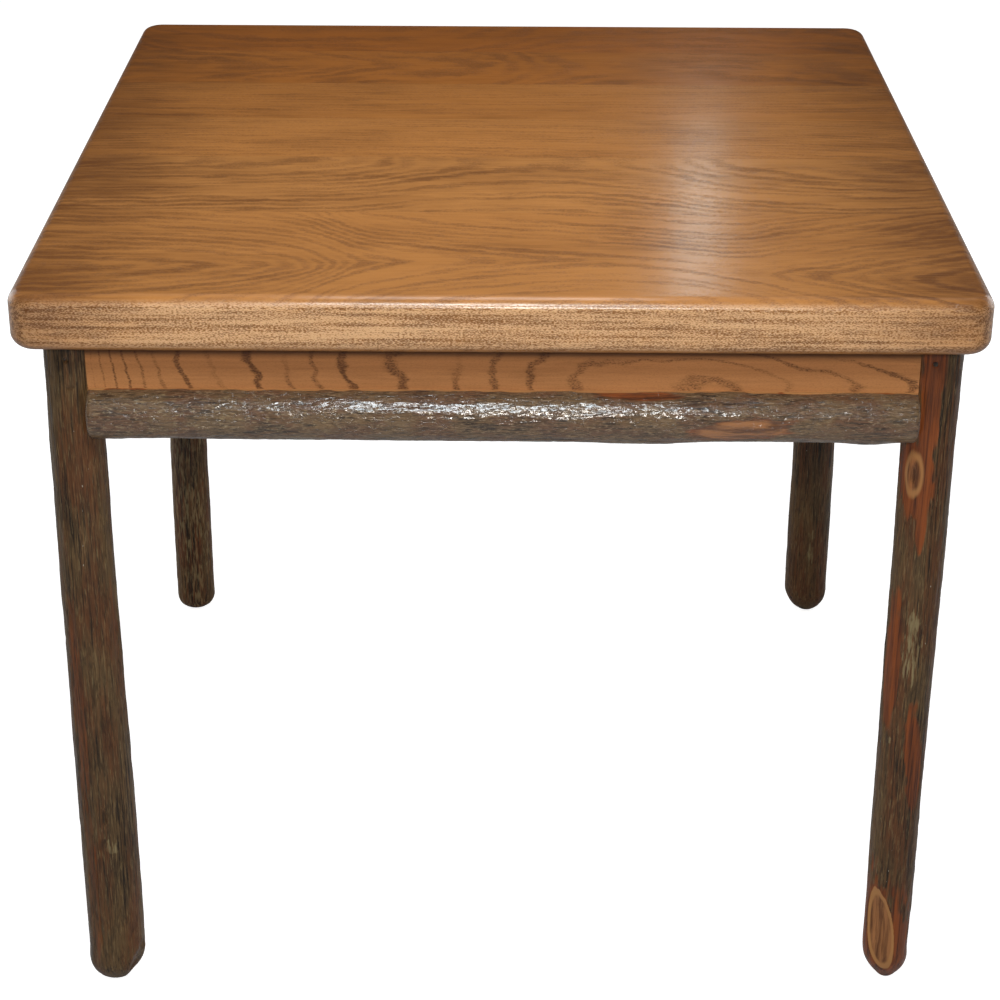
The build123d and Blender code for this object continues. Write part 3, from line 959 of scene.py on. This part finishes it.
def rough_bark(g, look, streak, fine, flake, cloud, patch, crack, lichen_and_glint_fleck):
    """The colours of whole bark, with its cracks, moss, and pale flecks that are partly lichen and
    partly painted glints of the varnish.
    """
    tone = g.blend(g.rise(patch + streak * 0.4, -0.1, 0.12), look.olive, look.russet)
    tone = g.blend(g.rise(streak + cloud * 0.5, -0.2, 0.08), look.dark, tone)
    tone = g.blend(g.rise(fine + flake * 0.5, 0.02, 0.22) * 0.5, tone, look.pale)
    tone = g.blend(crack * 0.45, tone, CRACK_TONE)
    tone = g.blend(g.attribute("furrow") * 0.4, tone, CRACK_TONE)
    # Near-white flecks: partly lichen, partly painted glints of the varnish.
    tone = g.blend(g.rise(lichen_and_glint_fleck, 0.34, 0.4) * 0.7, tone, LICHEN_AND_GLINT_TONE)
    moss = g.rise(g.attribute("pale") * 0.8 + flake * 2.4 + fine, 0.5, 1.05)
    return g.blend(moss * 0.7, tone, MOSS_TONE)


def opened_bark(g, rough, peel, streak, flake, vein):
    """Whole bark's colours, with those of what lies under it where it is peeled, cut or knotty."""
    wood = g.attribute("wood")
    knot = g.attribute("knot")
    inner = g.blend(g.rise(vein + streak * 0.9, -0.3, 0.2), INNER_BARK_DARK, INNER_BARK_LIGHT)
    heart = g.blend(g.rise(vein + streak * 0.6, -0.18, 0.15), HEART_DARK, HEART_LIGHT)
    tone = g.blend(g.rise(peel + streak * 0.9 + flake * 0.5, 0.15, 0.95), rough, inner)
    tone = g.blend(g.rise(peel, 1.15, 1.5), tone, SAPWOOD_TONE)
    tone = g.blend(g.rise(peel + streak, 2.5, 3.3), tone, heart)
    tone = g.blend(g.rise(wood + streak * 0.6, 0.3, 0.9), tone, heart)
    tone = g.blend((1 - g.rise(knot, 0.6, 0.9)) * 0.7, tone, heart)
    tone = g.blend(g.band(knot, 0.55, 0.8, 0.85, 1.1) * 0.75, tone, SAPWOOD_TONE)
    return g.blend((1 - g.rise(knot + streak, 0.1, 0.6)) * 0.8, tone, KNOT_HEART)


def bark(name, axes, look):
    """Varnished hickory bark, and what lies under it where it is cut or peeled."""
    g = Graph(bpy.data.materials.new(name))
    along, side, out = g.place(axes)
    along = along * look.chop

    def lumps(along_rate, side_rate, detail, roughness=0.5):
        """Noise with this many lumps per metre along the stick and to both its sides."""
        return g.noise(along * along_rate, side * side_rate, out * side_rate, detail, roughness)

    streak = lumps(30, 520, 4, 0.65)
    fine = lumps(110, 1300, 3, 0.6)
    flake = lumps(85, 400, 3, 0.6)
    split = g.math("ABSOLUTE", lumps(42, 330, 2))
    vein = lumps(11, 170, 3)
    cloud = lumps(9, 34, 3)
    patch = g.noise(along * 13 + 7, side * 48, out * 48, detail=3)
    ripple = lumps(60, 300, 2)
    lichen = g.rise(lumps(10, 110, 1), 0.02, 0.2)
    # Flecks: partly painted glints of the varnish, partly lichen, thicker where lichen grows.
    lichen_and_glint_fleck = lumps(300, 560, 1) + lichen * 0.1
    crack = (1 - g.rise(split, 0.0, 0.04)) * g.rise(cloud + streak * 0.5, -0.1, 0.1)
    peel = g.attribute("peel")
    rough = rough_bark(g, look, streak, fine, flake, cloud, patch, crack, lichen_and_glint_fleck)
    tone = opened_bark(g, rough, peel, streak, flake, vein)

    height = flake * 0.7 + streak * 0.4 + fine * 0.25 - crack * 0.2
    height = height * (1 - 0.7 * g.rise(peel, 0.3, 0.9))
    varnish = ripple * 0.55 + flake * 0.15 - crack * 0.25
    return g.finish(
        tone, BARK_ROUGHNESS + fine * 0.3, height, BARK_RELIEF, varnish,
        Coat_Weight=look.coat, Coat_Roughness=BARK_COAT_ROUGHNESS, Specular_IOR_Level=look.shine,
    )


def steel(name, dark, light):
    """Plain steel, dulled in clouds."""
    g = Graph(bpy.data.materials.new(name))
    x, y, z = g.place("XYZ")
    cloud = g.noise(x * 300, y * 300, z * 300, detail=4)
    tone = g.blend(g.rise(cloud, -0.2, 0.2), dark, light)
    return g.finish(tone, STEEL_ROUGHNESS + cloud * 0.3, cloud, STEEL_RELIEF, Metallic=1.0)


# ---- the table's pieces ----


def give(node, material):
    """A CAD node keeps its shape and takes this material."""
    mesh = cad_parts[node].data
    mesh.materials.clear()
    mesh.materials.append(material)


def dress_top():
    for number, grain in enumerate(TOP_GRAINS, 1):
        give(f"top_board_{number}", oak(f"oak_board_{number}", grain, TOP_FINISH))


def dress_aprons():
    for node, axes, seed in (
        ("apron_front", "XZY", 2.0),
        ("apron_back", "XZY", 14.0),
        ("apron_left", "YZX", 25.0),
        ("apron_right", "YZX", 38.0),
    ):
        low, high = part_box(node)
        along, _, through = ("XYZ".index(axis) for axis in axes)
        length = (low[along], high[along])
        face = max(low[through], high[through], key=abs)
        thickness = high[through] - low[through]
        grain = apron_grain(axes, length, face, thickness, high.z, seed)
        give(node, oak(f"oak_{node}", grain, APRON_FINISH))


def dress_inside():
    """The blocks and tongues of plain oak, and the steel."""
    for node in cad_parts:
        if node.startswith("corner_block") or node == "top_splines":
            low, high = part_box(node)
            grain = Grain(
                "XYZ", (low.x, high.x), high.z, high.z - low.z,
                pith=((0, 0.9), (1, 0.92)), depth=((0, 0.05), (1, 0.08)), drift=((0, 0), (1, 0.01)),
                spacing=0.004, wobble=0.002, contrast=0.6, seed=low.x * 9,
            )
            give(node, oak(f"plain_{node}", grain, PLAIN_FINISH))
    give("tenon_nails", steel("blued_steel", colour(46, 40, 36), colour(84, 76, 70)))
    metal = steel("steel", colour(112, 106, 98), colour(186, 182, 174))
    for node in ("rail_screws", "block_screws", "top_screws", "top_clips", "clip_screws"):
        give(node, metal)


def dress_hickory():
    pole_bark = bark("bark_poles", "ZXY", POLE_LOOK)
    for node, spec in POLES.items():
        pole(node, spec, pole_bark)
    bark_along_x = bark("bark_rails_x", "XYZ", RAIL_LOOK)
    bark_along_y = bark("bark_rails_y", "YXZ", RAIL_LOOK)
    for node, spec in RAILS.items():
        rail(node, spec, bark_along_x if spec.outwards[0] == 0 else bark_along_y)


# ---- the studio ----

CAMERA_PLACE = (0.0026, -2.4162, 1.5245)
CAMERA_TILT = 25.978
CAMERA_TURN = 0.072
CAMERA_ROLL = 0.294
CAMERA_LENS = 87.216
# How strongly the surroundings light the table from the horizon and from above.
HORIZON = 0.02
ZENITH = 0.24
FLOOR_SIZE = 40
FLOOR_PARTS = 4
FLOOR_GLOW = 0.85


def camera():
    data = bpy.data.cameras.new("camera")
    data.lens = CAMERA_LENS
    eye = bpy.data.objects.new("camera", data)
    eye.matrix_world = (
        Matrix.Translation(CAMERA_PLACE)
        @ Matrix.Rotation(radians(CAMERA_TURN), 4, "Z")
        @ Matrix.Rotation(radians(90 - CAMERA_TILT), 4, "X")
        @ Matrix.Rotation(radians(CAMERA_ROLL), 4, "Z")
    )
    bpy.context.scene.collection.objects.link(eye)
    bpy.context.scene.camera = eye


def lamp(name, place, target, size, watts, tint=(1.0, 1.0, 1.0)):
    """A soft rectangular lamp that faces its target."""
    data = bpy.data.lights.new(name, "AREA")
    data.shape = "RECTANGLE"
    data.size, data.size_y = size
    data.energy = watts
    data.color = tint
    light = bpy.data.objects.new(name, data)
    light.location = place
    light.rotation_euler = (Vector(target) - Vector(place)).to_track_quat("-Z", "Y").to_euler()
    light.visible_camera = False
    bpy.context.scene.collection.objects.link(light)


def floor():
    """A pale floor that looks white to the camera and keeps the table's shadow."""
    g = Graph(bpy.data.materials.new("floor"))
    x, y, z = g.place("XYZ")
    grey = g.blend(g.noise(x * 2, y * 2, z) + 0.5, colour(206, 206, 206), colour(212, 212, 212))
    g.feed(g.shader.inputs["Base Color"], grey)
    g.feed(g.shader.inputs["Roughness"], 0.9)
    g.feed(g.shader.inputs["Emission Color"], (1.0, 1.0, 1.0, 1.0))
    seen = g.node("LightPath", {}, output="Is Camera Ray")
    g.feed(g.shader.inputs["Emission Strength"], seen * FLOOR_GLOW)
    bpy.ops.mesh.primitive_grid_add(
        size=FLOOR_SIZE, x_subdivisions=FLOOR_PARTS, y_subdivisions=FLOOR_PARTS,
    )
    ground = bpy.context.object
    ground.name = "floor"
    ground.data.materials.append(g.owner)


def surroundings():
    """Soft light that grows towards the zenith. The camera sees plain white."""
    world = bpy.data.worlds.new("studio")
    bpy.context.scene.world = world
    g = Graph(world)
    up = g.place("Z", "Generated")[0]
    level = HORIZON + (ZENITH - HORIZON) * g.rise(up, 0.4, 1.0)
    seen = g.node("LightPath", {}, output="Is Camera Ray")
    sky = g.tree.nodes["Background"]
    sky.inputs["Color"].default_value = (1.0, 1.0, 1.0, 1.0)
    g.feed(sky.inputs["Strength"], g.math("MAXIMUM", level, seen))


def studio():
    camera()
    surroundings()
    floor()
    lamp("front", (0.12, -3.3, 2.12), (0, -0.3, 0.5), (0.4, 0.3), 44, (1.0, 0.97, 0.92))
    lamp("key", (-0.04, -1.50, 1.95), (0, -0.3, 0.7), (0.44, 0.4), 18.5, (0.84, 0.94, 1.0))
    lamp("overhead", (-0.02, -0.20, 1.45), (0, -0.20, 0.76), (0.4, 0.4), 2.8)
    lamp("window", (0.33, 1.5, 1.45), (0.1, -0.1, 0.76), (0.07, 0.36), 0.31, (0.76, 0.97, 1.0))
    lamp("back", (0.3, 2.4, 3.6), (0, 0, 0.5), (2.6, 2.6), 8)
    lamp("back_left", (-2.7, 1.6, 1.15), (0, 0, 0.4), (2.6, 2.0), 42)
    lamp("back_right", (2.7, 1.6, 1.15), (0, 0, 0.4), (2.6, 2.0), 42)
    bpy.context.scene.view_settings.view_transform = "Standard"


dress_top()
dress_aprons()
dress_inside()
dress_hickory()
studio()
